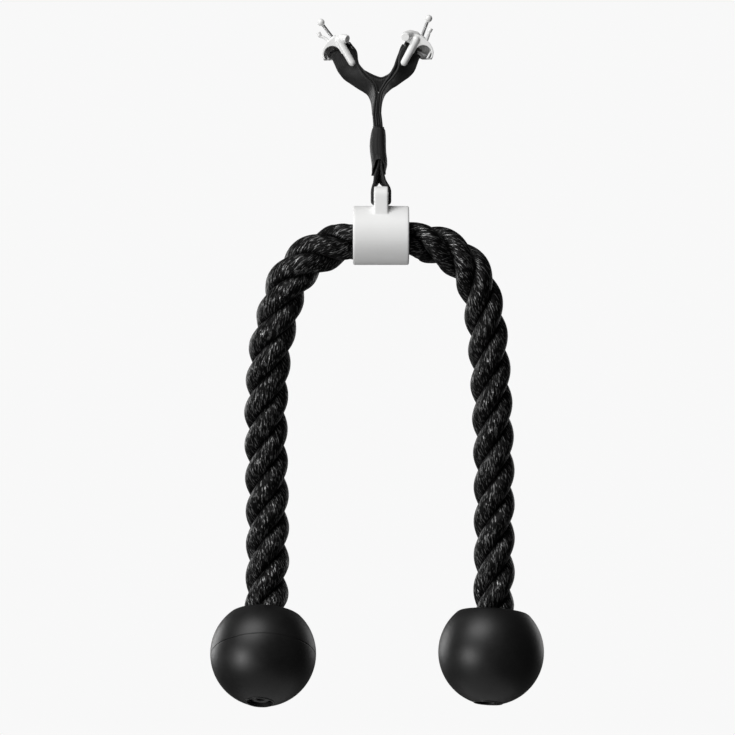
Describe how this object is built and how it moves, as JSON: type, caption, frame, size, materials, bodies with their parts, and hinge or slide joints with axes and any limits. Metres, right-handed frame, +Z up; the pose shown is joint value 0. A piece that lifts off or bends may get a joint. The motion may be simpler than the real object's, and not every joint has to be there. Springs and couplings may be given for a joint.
{
  "type": "triceps rope attachment",
  "caption": "Thick black rope bent through a white collar, with a rubber stop ball on each end, hung from a forked webbing tether with white toggles.",
  "frame": {"origin": "at the fork of the tether, between its two bands, where they meet over the strap", "axes": "+Z up along the hanging attachment, -Y the front, +X to the right as seen from the front"},
  "size_m": [0.2382, 0.0802, 0.4943],
  "materials": {
    "webbing": "matte",
    "rope": "satin",
    "rubber": "matte",
    "white_plastic": "satin",
    "steel": "satin",
    "black_plastic": "satin"
  },
  "bodies": {
    "tether": {"webbing_left_loop": "webbing", "webbing_right_loop": "webbing", "fork_lap": "webbing"},
    "toggle_left": {"left_toggle_body": "white_plastic", "left_crossbar": "steel", "left_cable": "steel", "left_cable_ball": "white_plastic", "left_cable_tail": "white_plastic"},
    "toggle_right": {"right_toggle_body": "white_plastic", "right_crossbar": "steel", "right_cable": "steel", "right_cable_ball": "white_plastic", "right_cable_tail": "white_plastic"},
    "strap": {"keeper_sleeve": "webbing", "lug_loop": "webbing"},
    "collar": {"collar_shell": "white_plastic", "rope_core": "rope", "left_rope_bend": "rope", "right_rope_bend": "rope"},
    "rope_left": {"left_rope_leg": "rope", "left_stop_ball": "rubber", "left_rope_end": "rope", "left_end_washer": "steel", "left_end_ferrule": "black_plastic"},
    "rope_right": {"right_rope_leg": "rope", "right_stop_ball": "rubber", "right_rope_end": "rope", "right_end_washer": "steel", "right_end_ferrule": "black_plastic"}
  },
  "joints": [
    {"name": "toggle_left_tilt", "type": "hinge", "parent": "tether", "child": "toggle_left", "pos_m": [-0.0265, 0, 0.0196], "axis": [-0.866, 0, -0.5], "range_deg": [0, 40]},
    {"name": "toggle_right_tilt", "type": "hinge", "parent": "tether", "child": "toggle_right", "pos_m": [0.0218, 0, 0.0199], "axis": [-0.8821, 0, 0.471], "range_deg": [0, 40]},
    {"name": "strap_swing", "type": "hinge", "parent": "tether", "child": "strap", "pos_m": [-0.0031, 0, -0.012], "axis": [1, 0, 0], "range_deg": [-60, 60], "deforming": ["webbing_left_loop", "webbing_right_loop"]},
    {"name": "collar_rock", "type": "hinge", "parent": "strap", "child": "collar", "pos_m": [0, 0, -0.0836], "axis": [0, 1, 0], "range_deg": [-40, 40], "deforming": ["lug_loop"]},
    {"name": "rope_left_swing", "type": "hinge", "parent": "collar", "child": "rope_left", "pos_m": [-0.0579, 0, -0.1351], "axis": [0, 1, 0], "range_deg": [-6, 50], "stiffness_Nm_per_rad": 0.6, "springref_deg": 6.56, "deforming": ["left_rope_bend"]},
    {"name": "rope_right_swing", "type": "hinge", "parent": "collar", "child": "rope_right", "pos_m": [0.0572, 0, -0.1301], "axis": [0, -1, 0], "range_deg": [-6, 50], "stiffness_Nm_per_rad": 0.6, "springref_deg": 5.45, "deforming": ["right_rope_bend"]}
  ]
}
